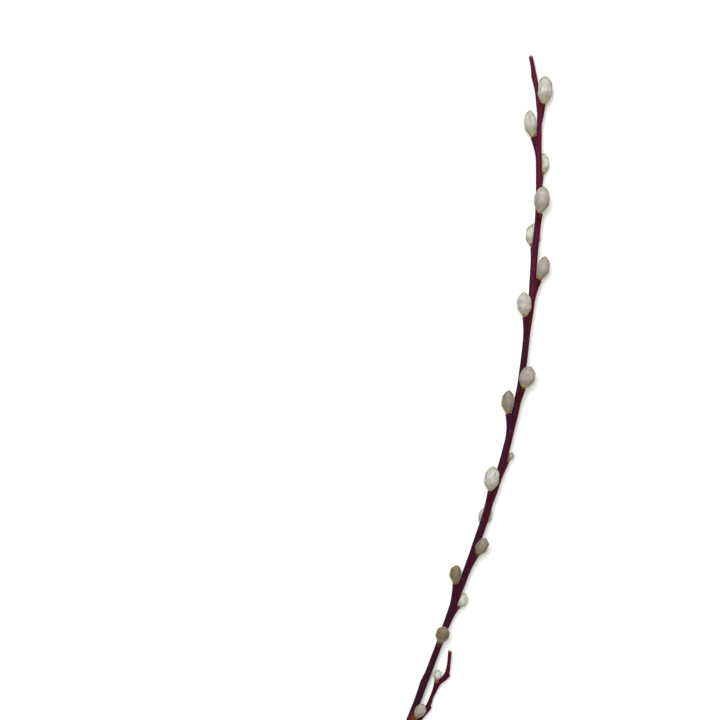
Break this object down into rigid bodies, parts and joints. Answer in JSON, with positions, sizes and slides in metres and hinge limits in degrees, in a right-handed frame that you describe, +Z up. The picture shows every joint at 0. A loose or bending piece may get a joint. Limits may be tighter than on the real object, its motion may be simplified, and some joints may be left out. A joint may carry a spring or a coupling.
{
  "type": "willow branch",
  "caption": "Cut willow branch lying on its side: a thin bowed dark red stem with a short side shoot, leaf cushions, and soft silvery catkins on small scaly collars.",
  "frame": {"origin": "on the surface that the branch lies on, under the middle of its whole box", "axes": "+Y along the straight line from the cut butt to the tip, +Z up from the surface, +X the side that the rod bows to"},
  "size_m": [0.0538, 0.5924, 0.0234],
  "materials": {
    "bark": "satin",
    "bud_scale": "matte",
    "silk": "matte"
  },
  "bodies": {
    "root": {"stem": "bark", "collar_01": "bud_scale", "catkin_01": "silk", "collar_02": "bud_scale", "catkin_02": "silk", "collar_03": "bud_scale", "catkin_03": "silk", "collar_04": "bud_scale", "catkin_04": "silk", "collar_05": "bud_scale", "catkin_05": "silk", "collar_06": "bud_scale", "catkin_06": "silk", "collar_07": "bud_scale", "catkin_07": "silk", "collar_08": "bud_scale", "catkin_08": "silk", "collar_09": "bud_scale", "catkin_09": "silk", "collar_10": "bud_scale", "catkin_10": "silk", "collar_11": "bud_scale", "catkin_11": "silk", "collar_12": "bud_scale", "catkin_12": "silk", "collar_13": "bud_scale", "catkin_13": "silk", "collar_14": "bud_scale", "catkin_14": "silk", "collar_15": "bud_scale", "catkin_15": "silk", "collar_16": "bud_scale", "catkin_16": "silk", "collar_17": "bud_scale", "catkin_17": "silk", "collar_18": "bud_scale", "catkin_18": "silk"}
  },
  "joints": []
}
